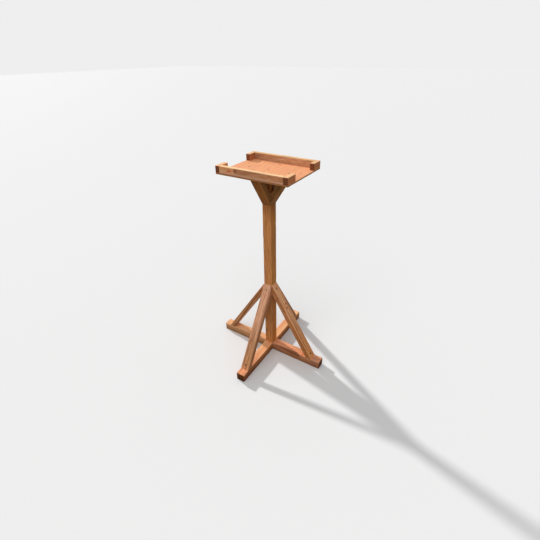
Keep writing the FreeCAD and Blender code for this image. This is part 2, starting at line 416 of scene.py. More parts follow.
@dataclass(frozen=True)
class Trunk:
    """Where in the tree a timber was cut: its growth rings and its knots."""

    pith: tuple[float, float]
    ring: float
    phase: float
    sway: tuple[float, float] = (2.5, 3.0)
    sway_length: tuple[float, float] = (150.0, 110.0)
    knots: tuple[Knot, ...] = ()

    def rings(self, spot: Spot, wobble: Union[float, Wire] = 0.0) -> Field:
        """Count of growth rings from the pith to a place, as a number that isn't whole.

        The mesh and the material both take it from here, so that their ridges and lines agree.

        Args:
            spot: Place along the grain, across it and through the timber.
            wobble: Fine unevenness of the rings, in millimetres.

        Returns:
            The count.
        """
        x, y, z = spot
        phase = self.phase
        off_y = y - self.pith[0] - self.sway[0] * sine(x / self.sway_length[0] + phase)
        off_z = z - self.pith[1] - self.sway[1] * sine(x / self.sway_length[1] + 2.1 * phase + 1.0)
        radius = root(off_y * off_y + off_z * off_z) + wobble
        for knot in self.knots:
            spread = knot.distance(spot) / (KNOT_BULGE_RADII * knot.radius + KNOT_BULGE_MORE)
            radius = radius - KNOT_BULGE * knot.radius * exponential(-1.0 * spread * spread)
        even = count = radius / self.ring
        for size, rate, shift in RING_WAVES:
            count = count + size * sine(even * rate + shift * phase)
        return count


def late_wood(rings: Field) -> Field:
    """How far a place is in the dark late wood that closes each ring, 0 to 1."""
    part = fraction(rings)
    return rise(part, *LATE_WOOD_START) * (1.0 - rise(part, *LATE_WOOD_STOP))


@dataclass(frozen=True)
class Splice:
    """A finger joint that carries a rail on in another piece of wood."""

    x: float
    finger: float
    pitch: float
    trunk: Trunk
    pale: Triple
    dark: Triple

    def edge(self, y: Field) -> Field:
        """Where the joint lies at a place across the timber."""
        swing = fraction(y / self.pitch) - 0.5
        return self.x + self.finger * (root(swing * swing) * 4.0 - 1.0)


@dataclass(frozen=True)
class Layer:
    """A surface while its finish is worked out: colour, height in millimetres, roughness and late wood."""

    colour: Wire
    height: Wire
    rough: Wire
    late: Wire

    def toward(self, other: "Layer", share: Wire) -> "Layer":
        """Go over to another layer.

        Args:
            other: The other layer.
            share: How much of the other, 0 to 1.

        Returns:
            The two mixed.
        """
        rest = 1.0 - share
        return Layer(
            self.colour.bench.mix(share, self.colour, other.colour),
            self.height * rest + other.height * share,
            self.rough * rest + other.rough * share,
            self.late * rest + other.late * share,
        )

    def coloured(self, share: Any, colour: Any) -> "Layer":
        """The layer with a share, 0 to 1, of another colour over it."""
        return replace(self, colour=self.colour.bench.mix(share, self.colour, colour))

    def tinted(self, share: Any, tint: Any) -> "Layer":
        """The layer with a share, 0 to 1, of its colour multiplied by a tint."""
        return self.coloured(share, self.colour * tint)

    def shaped(self, height: Wire, rough: Any = 0.0) -> "Layer":
        """The layer with something added to its height and its roughness."""
        return replace(self, height=self.height + height, rough=self.rough + rough)


class Grain:
    """Places and noises in one timber's own directions, for its material."""

    def __init__(self, timber: "Timber") -> None:
        """Start the material of a timber.

        Args:
            timber: The piece that is dressed.
        """
        self.timber = timber
        self.bench = Bench(bpy.data.materials.new(timber.name + "_finish"))
        self.place = self.bench.node("ShaderNodeTexCoord", out="Object") * METRE
        self.height = self.place.dot((0.0, 0.0, 1.0))
        offset = self.place - timber.centre
        self.x, self.y, self.z = self.spot = tuple(offset.dot(axis) for axis in timber.axes)
        self.from_end, self.from_side, self.from_face = (
            half - way.size() for half, way in zip(timber.half, self.spot)
        )
        self.own = self.bench.vector(self.x + NOISE_SHIFT * timber.seed, self.y, self.z)
        self.wobble = (self.noise(0.011, 0.075, 2.0) - 0.5) * 2.6
        self.fibres = self.noise(0.010, 0.85, 4.0, 0.62)
        self.hairs = self.noise(0.045, 3.4, 2.0)
        self.patches = self.noise(0.006, 0.035, 3.0, 0.55)
        self.lumps = self.noise(0.22, 0.30, 3.0, 0.55)
        self.bands = self.noise(0.005, 0.13, 2.0)
        self.clouds = self.noise(0.020, 0.11, 2.0, 0.55)

    def noise(self, along: float, across: float, detail: float, rough: float = 0.5) -> Wire:
        """Soft noise, from how fine it is along the grain and across it."""
        return self.bench.noise(self.own * (along, across, across), detail, rough)


@dataclass(frozen=True)
class StainedWood:
    """Planed softwood under a thin reddish-brown stain.

    Lengths are in millimetres. A tone is how much a noise lightens and darkens, a relief is a height and
    a gap a depth. A tint is what the colour is multiplied by at such a place, and a share how much of a
    tint or of another colour shows there.
    """

    pale: Triple
    dark: Triple
    contrast: float
    # Colour of bare wood, which the paler edges and the painted highlight on the tops go over to.
    raw_and_highlight: Triple = linear(252, 210, 160)
    # Colour of the paler band along the bottom of a timber.
    skirt_colour: Triple = linear(250, 198, 164)
    end: Triple = linear(146, 86, 54)
    knot: Triple = linear(104, 52, 30)
    brightest: float = 0.94
    mottle: float = 0.30
    streak: float = 0.30
    # Painted shade: the side faces are multiplied by this, darker and tinted as the light falls on them.
    side_shade: Triple = (1.0, 1.0, 1.0)
    # Painted highlight on the top faces, partly sun bleaching.
    top_highlight_and_bleach: float = 0.0
    # Painted shade near the ground, partly moisture, which also makes the wood rougher there.
    damp_and_ground_shade: float = 0.0
    damp_and_shade_height: float = 42.0
    # Height of the paler band along the bottom of a timber.
    skirt: float = 0.0
    # Painted shade under the tray.
    tray_shade: float = 0.0
    tray_shade_heights: tuple[float, float] = (825.0, 900.0)
    # Paler edges: painted highlight along the arrises, partly wear of the stain.
    worn: float = 0.34
    roughness: float = 0.56
    sheen: float = 0.10
    planer_marks: float = 4.6
    knot_rings: float = 1.4
    end_rays: float = 55.0
    fibre_tone: float = 0.42
    hair_tone: float = 0.26
    lump_tone: float = 0.12
    late_relief: float = 0.10
    fibre_relief: float = 0.12
    hair_relief: float = 0.07
    planer_relief: float = 0.012
    knot_relief: float = 0.12
    knot_gap: float = 0.35
    check_gap: float = 0.25
    seam_gap: float = 0.2
    bump: float = 0.8
    fibre_share: float = 0.36
    halo_share: float = 0.5
    soak_share: float = 0.22
    check_share: float = 0.5
    skirt_share: float = 0.62
    seam_share: float = 0.6
    screw_share: float = 0.55
    cloud_tints: tuple[Triple, Triple] = ((0.86, 0.78, 0.75), (1.11, 1.11, 1.14))
    band_tint: Triple = (0.74, 0.60, 0.50)
    fibre_tint: Triple = (0.70, 0.58, 0.50)
    knot_halo_tint: Triple = (0.74, 0.58, 0.48)
    knot_rim_tint: Triple = (0.30, 0.24, 0.20)
    check_tint: Triple = (0.40, 0.36, 0.34)
    # Painted shade near the ground, partly moisture.
    damp_and_shade_tint: Triple = (0.42, 0.36, 0.30)
    # Painted shade under the tray.
    tray_shade_tint: Triple = (0.66, 0.60, 0.50)
    seam_tint: Triple = (0.40, 0.34, 0.30)
    screw_tint: Triple = (0.45, 0.38, 0.34)

    def dress(self, timber: "Timber") -> bpy.types.Material:
        """Make the finish of one timber, with its own rings, knots and screw marks.

        Args:
            timber: The piece that is dressed.

        Returns:
            Its material.
        """
        grain = Grain(timber)
        layer = self._grow(grain, timber.trunk, self.pale, self.dark)
        if timber.splice:
            splice = timber.splice
            past = splice.edge(grain.y) - grain.x
            other = self._grow(grain, splice.trunk, splice.pale, splice.dark)
            seam = 1.0 - past.size().rise(0.1, 0.55)
            layer = layer.toward(other, past.rise(-0.15, 0.15))
            layer = layer.tinted(seam * self.seam_share, self.seam_tint).shaped(seam * -self.seam_gap)
        # The timber's tint and shades: partly its own tone, partly painted light and shade along it.
        layer = layer.tinted(1.0, timber.tint)
        for start, end, tint in timber.shades:
            away = grain.x.rise(start * timber.half[0], end * timber.half[0])
            layer = layer.tinted(away * away, tint)
        # Painted shade on the side faces.
        layer = layer.tinted(1.0 - (grain.from_side - grain.from_face).rise(-0.4, 0.4), self.side_shade)
        for stage in (self._close_ends, self._wear_edges, self._weather):
            layer = stage(grain, layer)
        for hole in timber.holes:
            away = grain.place.distance(tuple(hole.head)) + (grain.fibres - 0.5) * 3.0
            rim = hole.kind.head / 2
            near = 1.0 - away.rise(rim - 0.2, rim + 3.2)
            layer = layer.tinted(near * self.screw_share, self.screw_tint)
        return grain.bench.finish({
            "Base Color": layer.colour.lower(self.brightest),
            "Roughness": layer.rough,
            "Normal": grain.bench.bump(layer.height, self.bump),
            "Specular IOR Level": self.sheen,
        })

    def _grow(self, grain: Grain, trunk: Trunk, pale: Triple, dark: Triple) -> Layer:
        """The figure that rings, fibres and knots draw.

        Args:
            grain: The timber's places and noises.
            trunk: Where in the tree it was cut.
            pale: Colour of the early wood.
            dark: Colour of the late wood.

        Returns:
            The surface before any wear.
        """
        bench = grain.bench
        rings = trunk.rings(grain.spot, grain.wobble)
        late = late_wood(rings)
        draw = {"W": rings.whole() + grain.timber.seed}
        each = bench.node("ShaderNodeTexWhiteNoise", {"noise_dimensions": "1D"}, draw, "Value")
        middle = tuple(0.86 * p + 0.14 * d for p, d in zip(pale, dark))
        colour = bench.mix(each * 0.5, pale, middle)
        colour = bench.mix(late * (0.4 + each * 0.6) * self.contrast, colour, dark)
        tone = (grain.patches - 0.5) * (2.0 * self.mottle)
        tone = tone + (grain.fibres - 0.5) * self.fibre_tone + (grain.hairs - 0.5) * self.hair_tone
        tone = 1.0 + tone + (grain.bands - 0.5) * (2.0 * self.streak) + (grain.lumps - 0.5) * self.lump_tone
        relief = late * self.late_relief + grain.fibres * self.fibre_relief + grain.hairs * self.hair_relief
        ripple = sine(grain.x * (2 * math.pi / self.planer_marks)) * self.planer_relief
        layer = Layer(
            colour * tone,
            relief + ripple,
            self.roughness - late * 0.08 + (grain.patches - 0.5) * 0.25,
            late,
        )
        layer = layer.tinted(2.0 * self.mottle, bench.mix(grain.clouds.rise(0.36, 0.62), *self.cloud_tints))
        layer = layer.tinted(grain.bands.rise(0.54, 0.66) * self.streak, self.band_tint)
        layer = layer.tinted(grain.fibres.rise(0.56, 0.74) * self.fibre_share, self.fibre_tint)
        for knot in trunk.knots:
            layer = self._set_knot(grain, layer, knot)
        return layer

    def _set_knot(self, grain: Grain, layer: Layer, knot: Knot) -> Layer:
        """Lay a knot into the surface.

        Args:
            grain: The timber's places and noises.
            layer: The surface so far.
            knot: The knot.

        Returns:
            The surface with the knot.
        """
        radius = knot.radius
        ragged = (grain.lumps - 0.5) * (0.2 * radius + 1.0) + (grain.hairs - 0.5) * 0.5
        away = knot.distance(grain.spot) + ragged
        inside = 1.0 - away.rise(radius - 0.9, radius + 0.7)
        rim = inside * away.rise(radius - 2.2, radius - 0.2)
        halo = 1.0 - away.rise(radius * 0.7, radius * 2.6 + 3.0)
        light = tuple(0.55 * k + 0.45 * d for k, d in zip(self.knot, self.dark))
        rings = sine(away * (2 * math.pi / self.knot_rings))
        heart = grain.bench.mix(rings * 0.3 + 0.45, self.knot, light)
        layer = layer.tinted(halo * self.halo_share * knot.tone, self.knot_halo_tint)
        layer = layer.coloured(inside * knot.tone, heart)
        layer = layer.tinted(rim * (0.08 + 0.7 * knot.tone), self.knot_rim_tint)
        return layer.shaped(inside * self.knot_relief - rim * self.knot_gap, inside * -0.1)

    def _close_ends(self, grain: Grain, layer: Layer) -> Layer:
        """Show the end grain, and the stain that it has drawn in.

        Args:
            grain: The timber's places and noises.
            layer: The surface so far.

        Returns:
            The surface with its ends.
        """
        if grain.timber.slant:
            return layer
        bench = grain.bench
        pith_y, pith_z = grain.timber.trunk.pith
        turn = (grain.z - pith_z).angle(grain.y - pith_y)
        rays = bench.noise(bench.vector(turn * self.end_rays, grain.lumps, 0.0))
        cut = 1.0 - grain.from_end.rise(0.25, 0.75)
        soaked = 1.0 - (grain.from_end + grain.fibres * 6.0).rise(2.5, 9.0)
        checks = rays.rise(0.60, 0.70)
        colour = bench.mix(layer.late * 0.6, self.end, tuple(0.45 * c for c in self.end))
        colour = colour * (1.0 + (rays - 0.5) * 0.9 + (grain.lumps - 0.5) * 0.5)
        colour = bench.mix(checks * self.check_share, colour, colour * self.check_tint)
        layer = layer.coloured(soaked * self.soak_share, self.end).coloured(cut, colour)
        return layer.shaped(cut * checks * -self.check_gap, cut * 0.18)

    def _wear_edges(self, grain: Grain, layer: Layer) -> Layer:
        """Paint the edges paler, partly wear of the stain and partly painted highlight along the arrises, and
        lay a paler band along the bottom where asked.

        Args:
            grain: The timber's places and noises.
            layer: The surface so far.

        Returns:
            The surface with its edges.
        """
        timber = grain.timber
        # Painted highlight along the arrises, partly wear of the stain.
        nearness = grain.from_side.upper(grain.from_face)
        nearness = nearness + (grain.fibres - 0.5) * 2.4 + (grain.patches - 0.5) * 2.0
        layer = layer.coloured((1.0 - nearness.rise(0.1, 1.9)) * self.worn, self.raw_and_highlight)
        # A paler band along the bottom of the timber.
        if self.skirt:
            low = grain.height - (timber.highest - 2.0 * timber.half[2]) + (grain.fibres - 0.5) * 3.0
            band = 1.0 - low.rise(self.skirt - 2.0, self.skirt + 1.5)
            layer = layer.coloured(band * self.skirt_share, self.skirt_colour)
        return layer

    def _weather(self, grain: Grain, layer: Layer) -> Layer:
        """Paint highlight on what faces the sky, partly sun bleaching, and paint shade near the ground,
        partly moisture, and under the tray.

        Args:
            grain: The timber's places and noises.
            layer: The surface so far.

        Returns:
            The surface with its painted light and shade.
        """
        # Painted highlight on the top faces, partly sun bleaching.
        if self.top_highlight_and_bleach:
            top = (grain.height - (grain.timber.highest - 0.9)).rise(0.0, 0.7)
            layer = layer.coloured(top * self.top_highlight_and_bleach * (0.75 + (grain.patches - 0.5) * 1.2), self.raw_and_highlight)
        # Painted shade near the ground, partly moisture; the wood is also rougher there.
        if self.damp_and_ground_shade:
            low = 1.0 - (grain.height + (grain.fibres - 0.5) * 14.0).rise(0.0, self.damp_and_shade_height)
            layer = layer.tinted(low * self.damp_and_ground_shade, self.damp_and_shade_tint)
            layer = replace(layer, rough=layer.rough + low * 0.12)
        # Painted shade under the tray, from a height up.
        if self.tray_shade:
            under = (grain.height + (grain.fibres - 0.5) * 60.0).rise(*self.tray_shade_heights)
            layer = layer.tinted(under * self.tray_shade, self.tray_shade_tint)
        return layer


@dataclass(frozen=True)
class StainedBoard(StainedWood):
    """Thin exterior board. The layers that it is glued from show at its edges."""

    layers: int = 5
    long_edge: Triple = linear(198, 134, 84)
    glue_tint: Triple = (0.45, 0.38, 0.33)

    def _close_ends(self, grain: Grain, layer: Layer) -> Layer:
        """Show the layers at all four edges.

        Every second layer has its grain from side to side, so it shows long wood where the others show ends.

        Args:
            grain: The board's places and noises.
            layer: The surface so far.

        Returns:
            The surface with its edges.
        """
        bench, half = grain.bench, grain.timber.half[2]
        level = (grain.z + half) * (self.layers / (2.0 * half))
        crossed = fraction(level * 0.5).rise(0.48, 0.52)
        glue = (fraction(level) - 0.5).size().rise(0.42, 0.48)
        speck = bench.noise(grain.own * (0.9, 0.9, 0.5), 3.0, 0.6)
        at_ends = 1.0 - grain.from_end.rise(0.2, 0.6)
        at_sides = 1.0 - grain.from_side.rise(0.2, 0.6)
        edge = at_ends.upper(at_sides)
        side = bench.mix(crossed, self.long_edge, self.end) * (0.7 + speck * 0.6)
        front = bench.mix(crossed, self.end, self.long_edge) * (0.7 + speck * 0.6)
        layer = layer.coloured(at_sides, side).coloured(at_ends, front)
        return layer.tinted(edge * glue * 0.6, self.glue_tint).shaped(edge * glue * -0.15, edge * 0.15)


@dataclass(frozen=True)
class ScrewSteel:
    """Yellow zinc plating, dulled outdoors."""

    bright: Triple = linear(176, 150, 112)
    dull: Triple = linear(104, 84, 62)
    rusty: Triple = linear(112, 58, 30)

    def dress(self) -> bpy.types.Material:
        """Make the finish of all screws.

        Returns:
            The material.
        """
        bench = Bench(bpy.data.materials.new("screw_finish"))
        place = bench.node("ShaderNodeTexCoord", out="Object") * METRE
        clouds = bench.noise(place * 0.45, 3.0, 0.6)
        specks = bench.noise(place * 2.6)
        tarnish = clouds.rise(0.38, 0.66)
        rust = (specks + clouds * 0.4).rise(0.74, 0.86)
        return bench.finish({
            "Base Color": bench.mix(rust * 0.8, bench.mix(tarnish, self.bright, self.dull), self.rusty),
            "Metallic": 1.0 - rust * 0.9,
            "Roughness": 0.34 + tarnish * 0.22 + rust * 0.3,
            "Normal": bench.bump(specks * 0.03 + clouds * 0.04, 0.7),
        })


@dataclass(frozen=True)
class ScrewKind:
    """Sizes of a countersunk wood screw, and of the pocket that its head may lie in."""

    diameter: float
    length: float
    head: float
    pocket: float = 0.0

    def hole_profile(self) -> list[tuple[float, float]]:
        """Half of the drilled and countersunk hole's outline.

        Returns:
            Radius and height above the head's top, from the mouth down.
        """
        crest, rim = self.diameter / 2 + DRILL_CLEARANCE, self.head / 2 + DRILL_CLEARANCE
        mouth = [(rim, HEAD_SINK + 1.0)]
        if self.pocket:
            wide = self.head / 2 + POCKET_CLEARANCE
            mouth = [(wide, self.pocket), (wide, 0.0), (rim, 0.0)]
        cone = [(rim, -HEAD_RIM), (crest, -HEAD_RIM - (rim - crest))]
        shoulder = -self.length + TIP_DIAMETERS * self.diameter
        tip = [(crest, shoulder), (0.0, -self.length - DRILL_CLEARANCE)]
        return mouth + cone + tip


SMALL_SCREW = ScrewKind(4.0, 25.0, 8.0)
RAIL_SCREW = ScrewKind(4.0, 30.0, 8.0)
BRACE_SCREW = ScrewKind(4.5, 40.0, 9.0)
HEAD_BRACE_SCREW = ScrewKind(4.5, 35.0, 9.0)
FOOT_SCREW = ScrewKind(4.5, 50.0, 9.0, 14.0)
POST_SCREW = ScrewKind(6.0, 100.0, 12.0, 3.0)


@dataclass(frozen=True)
class Hole:
    """A drilled hole: the place of the screw head's top and the way that the screw points."""

    kind: ScrewKind
    head: Vector
    way: Vector
    rounds: int = 32

    def cutter(self) -> Mesh:
        """The hole as a closed mesh, with so many points to a round.

        Returns:
            Its points in millimetres and its faces.
        """
        rounds = self.rounds
        *profile, (_, tip) = self.kind.hole_profile()
        steps = [(step, (step + 1) % rounds) for step in range(rounds)]
        last = (len(profile) - 1) * rounds
        faces = [(ring + a, ring + a + rounds, ring + b + rounds, ring + b)
                 for ring in range(0, last, rounds) for a, b in steps]
        faces += [(last + a, last + rounds, last + b) for a, b in steps]
        faces.append(tuple(range(rounds)))
        points = [Vector((radius * math.cos(angle), radius * math.sin(angle), height))
                  for radius, height in profile
                  for angle in (2 * math.pi * step / rounds for step in range(rounds))]
        points.append(Vector((0.0, 0.0, tip)))
        turn = Vector((0.0, 0.0, -1.0)).rotation_difference(self.way).to_matrix()
        return np.array([tuple(turn @ point + self.head) for point in points]), faces


X_AXIS = Vector((1.0, 0.0, 0.0))
Y_AXIS = Vector((0.0, 1.0, 0.0))
Z_AXIS = Vector((0.0, 0.0, 1.0))


def block(low: Triple, high: Triple) -> Mesh:
    """A plain block between two corners, for cutting a notch."""
    faces = [(0, 1, 3, 2), (4, 6, 7, 5), (0, 4, 5, 1), (2, 3, 7, 6), (0, 2, 6, 4), (1, 5, 7, 3)]
    return np.array(list(product(*zip(low, high)))), faces


def mesh_piece(name: str, points: np.ndarray, faces: Sequence[Sequence[int]]) -> bpy.types.Object:
    """A mesh object from points in millimetres.

    Args:
        name: The object's name.
        points: One row for each point.
        faces: The point numbers of each face.

    Returns:
        The object, in the scene.
    """
    mesh = bpy.data.meshes.new(name)
    mesh.from_pydata((points * MILLIMETRE).tolist(), [], faces)
    mesh.validate()
    made = bpy.data.objects.new(name, mesh)
    bpy.context.scene.collection.objects.link(made)
    return made


@dataclass
class Timber:
    """One piece of wood, from its place and size to its mesh and its finish.

    Each shade starts and is whole at a share of the half length, and multiplies the colour beyond. The tint
    and the shades hold the timber's own tone and also painted light and shade.
    """

    node: str
    centre: Vector
    grain: Vector
    outward: Vector
    half: Triple
    trunk: Trunk
    finish: StainedWood
    seed: int
    slant: float = 0.0
    tint: Triple = (1.0, 1.0, 1.0)
    shades: tuple[Shade, ...] = ()
    easing: float = 1.5
    ridge: float = 0.16
    slot: str = "stained_timber"
    splice: Optional[Splice] = None
    holes: tuple[Hole, ...] = ()
    notches: tuple[tuple[Triple, Triple], ...] = ()
    pitch: float = 1.0
    stride: float = 8.0
    knot_stride: float = 1.5

    @property
    def name(self) -> str:
        """The piece's own name."""
        return self.node + "_wood"

    @property
    def axes(self) -> tuple[Triple, Triple, Triple]:
        """Along the grain, across it and out of the outer face."""
        return tuple(self.grain), tuple(self.outward.cross(self.grain)), tuple(self.outward)

    @property
    def highest(self) -> float:
        """Height of the timber's highest place above the ground."""
        return self.centre.z + sum(abs(axis[2]) * size for axis, size in zip(self.axes, self.half))

    def _lines(self, half: float, pitch: float) -> np.ndarray:
        """Where the mesh's lines lie in one direction, closer together at the eased edges.

        Args:
            half: Half of the timber's size in that direction.
            pitch: About how far apart they are between the edges.

        Returns:
            Their places, from the middle.
        """
        edge = EDGE_LINES * self.easing
        inset = half - EDGE_WIDTH * self.easing
        inner = np.linspace(-inset, inset, max(2, round(2 * half / pitch)))
        return np.concatenate([edge - half, inner, half - edge[::-1]])

    def _stations(self) -> np.ndarray:
        """Where the mesh's lines lie along the grain, closer together at the ends and round the knots.

        Returns:
            Their places, from the middle.
        """
        half = self.half[0]
        places = list(self._lines(half, self.stride))
        for knot in self.trunk.knots + (self.splice.trunk.knots if self.splice else ()):
            width = (knot.radius + KNOT_MARGIN) * knot.stretch
            places += list(np.arange(knot.at[0] - width, knot.at[0] + width, self.knot_stride))
        kept = [-half]
        for place in sorted(places):
            if place - kept[-1] > CLOSEST_LINES * self.easing and place < half - LAST_LINE_FROM_END:
                kept.append(place)
        return np.array(kept + [half])

    def shape(self) -> tuple[np.ndarray, np.ndarray]:
        """Points and quads of the timber's surface, in the frame's millimetres, before any hole.

        Returns:
            Points, one row each, and the four point numbers of each quad.
        """
        xs = self._stations()
        ys, zs = (self._lines(half, self.pitch) for half in self.half[1:])
        counts = (len(xs), len(ys), len(zs))
        places = np.indices(counts)
        outer = np.any([(place == 0) | (place == count - 1) for place, count in zip(places, counts)], axis=0)
        number = np.full(counts, -1)
        number[outer] = np.arange(outer.sum())
        points = np.stack([line[place[outer]] for line, place in zip((xs, ys, zs), places)], axis=1)
        quads = []
        for axis, count in enumerate(counts):
            for side in (0, count - 1):
                sheet = np.take(number, side, axis=axis)
                if axis == 1:
                    sheet = sheet.T
                a, b, c, d = sheet[:-1, :-1], sheet[1:, :-1], sheet[1:, 1:], sheet[:-1, 1:]
                order = (a, b, c, d) if side else (a, d, c, b)
                quads.append(np.stack([corner.ravel() for corner in order], axis=1))
        return self._worked(points) @ np.array(self.axes) + np.array(self.centre), np.concatenate(quads)

    def _worked(self, points: np.ndarray) -> np.ndarray:
        """Ease the edges, raise the late wood, dent the corners and slant the ends.

        Args:
            points: Points on a sharp block in the timber's own millimetres.

        Returns:
            The points moved.
        """
        half, seed = np.array(self.half), self.seed
        x = points[:, 0]
        swell = 1.0
        for size, wave, shift in EASING_WAVES:
            swell = swell + size * np.sin(x / wave + shift * seed)
        most = min(half[1], half[2]) * MOST_EASING
        ease = np.clip(self.easing * swell, LEAST_EASING * self.easing, most)[:, None]
        inner = np.clip(points, -(half - ease), half - ease)
        if self.slant:
            inner[:, 0] = x
        away = points - inner
        length = np.maximum(np.linalg.norm(away, axis=1, keepdims=True), 1e-9)
        normal = away / length
        points = inner + normal * np.minimum(length, ease)

        short, long, across = PLANING_WAVES
        waves = 2.0 + np.sin(x / short + 1.3 * seed) + np.sin(x / long + points[:, 1] / across)
        flat = 1.0 - np.abs(normal[:, 0])
        depth = self.ridge * (1.0 - self._late(points)) * flat + PLANING_DEPTH * waves + self._dents(points)
        points = points - normal * depth[:, None]
        if self.slant:
            share = (x + half[0]) / (2 * half[0])
            lower = half[2] - points[:, 2]
            start = -half[0] + lower * math.tan(self.slant)
            end = half[0] - lower / math.tan(self.slant)
            points[:, 0] = start + share * (end - start)
        return points

    def _late(self, points: np.ndarray) -> np.ndarray:
        """How far each point is in the late wood.

        Args:
            points: Points in the timber's own millimetres.

        Returns:
            0 to 1 for each.
        """
        x, y, _ = spot = tuple(points.T)
        late = late_wood(self.trunk.rings(spot))
        if self.splice:
            late = np.where(x < self.splice.edge(y), late_wood(self.splice.trunk.rings(spot)), late)
        return late

    def _dents(self, points: np.ndarray) -> np.ndarray:
        """Depth of the small knocks along the edges.

        Args:
            points: Points in the timber's own millimetres.

        Returns:
            The depth at each.
        """
        draw = np.random.default_rng(self.seed)
        depth = np.zeros(len(points))
        for _ in range(int(DENTS_AT_LEAST + self.half[0] / DENT_SPACING)):
            centre = np.array([
                draw.uniform(-DENT_SPAN, DENT_SPAN) * self.half[0],
                draw.choice([-1.0, 1.0]) * self.half[1],
                draw.choice([-1.0, 1.0]) * self.half[2],
            ])
            spread = np.array([draw.uniform(*size) for size in (DENT_LENGTH, DENT_WIDTH, DENT_WIDTH)])
            away = np.sum(((points - centre) / spread) ** 2, axis=1)
            depth += draw.uniform(*DENT_DEPTH) * np.exp(-away)
        return depth

    def build(self) -> None:
        """Make the timber's mesh, drill and notch it, dress it and put it in the place of its node."""
        points, quads = self.shape()
        piece = mesh_piece(self.name, points, quads.tolist())
        cutters = [hole.cutter() for hole in self.holes] + [block(low, high) for low, high in self.notches]
        if cutters:
            self._cut(piece, cutters)
        piece.data.shade_smooth()
        piece.data.set_sharp_from_angle(angle=math.radians(SHARP_EDGE_ANGLE))
        piece.data.materials.clear()
        piece.data.materials.append(self.finish.dress(self))
        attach(piece, "root")
        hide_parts(self.node)
        log.info("%s stands for %s, %d faces", self.name, self.node, len(piece.data.polygons))

    def _cut(self, piece: bpy.types.Object, cutters: list[Mesh]) -> None:
        """Take the holes and notches out of the piece.

        Args:
            piece: The piece.
            cutters: Points and faces of each closed shape that comes out.
        """
        for number, (points, faces) in enumerate(cutters):
            change = piece.modifiers.new("cut", "BOOLEAN")
            change.operation = "DIFFERENCE"
            change.solver = "MANIFOLD"
            change.object = mesh_piece(f"{self.name}_cutter_{number}", points, faces)
        bpy.context.view_layer.update()
        shaped = piece.evaluated_get(bpy.context.evaluated_depsgraph_get())
        cut = bpy.data.meshes.new_from_object(shaped)
        tools = [change.object for change in piece.modifiers]
        spent = [piece.data] + [tool.data for tool in tools]
        piece.modifiers.clear()
        piece.data = cut
        for tool in tools:
            bpy.data.objects.remove(tool)
        for mesh in spent:
            bpy.data.meshes.remove(mesh)
        cut.name = self.name


@dataclass(frozen=True)
class Lean:
    """How a brace leans: its outer face on the right-hand side of the post, from the post outwards.

    It starts at one height, ends at another, and reaches so far from the middle of the post.
    """

    start: float
    end: float
    reach: float

    @property
    def near(self) -> Vector:
        """Where the outer face starts at the post."""
        return Vector((POST_HALF, 0.0, self.start))

    @property
    def far(self) -> Vector:
        """Where the outer face ends."""
        return Vector((self.reach, 0.0, self.end))

    @property
    def angle(self) -> float:
        """Slope against the level, in radians."""
        return math.atan2(abs(self.end - self.start), self.reach - POST_HALF)

    @property
    def along(self) -> Vector:
        """The way along the outer face, from the post outwards."""
        rise_or_fall = math.copysign(math.sin(self.angle), self.end - self.start)
        return Vector((math.cos(self.angle), 0.0, rise_or_fall))

    @property
    def outward(self) -> Vector:
        """The way out of the outer face."""
        up_or_down = math.copysign(math.cos(self.angle), self.start - self.end)
        return Vector((math.sin(self.angle), 0.0, up_or_down))

    def screw(self, kind: ScrewKind, side: Side, distance: float) -> Hole:
        """The hole of a screw straight through the brace into the post, at a distance from the start."""
        place = self.near + self.along * distance - self.outward * HEAD_SINK
        return Hole(kind, side.turn(place), side.turn(-self.outward))

    def brace(self, word: str, side: Side, **rest: Any) -> Timber:
        """The brace on one side of the post.

        Args:
            word: How the name of its node starts.
            side: The side of the post that it stands on.
            **rest: The timber's other fields.

        Returns:
            The timber.
        """
        run = self.far - self.near
        return Timber(
            node=f"{word}_{side.name.lower()}",
            centre=side.turn((self.near + self.far) / 2 - self.outward * (BRACE_THICKNESS / 2)),
            grain=side.turn(run.normalized()), outward=side.turn(self.outward), slant=self.angle,
            half=(run.length / 2, POST_HALF, BRACE_THICKNESS / 2), **rest,
        )


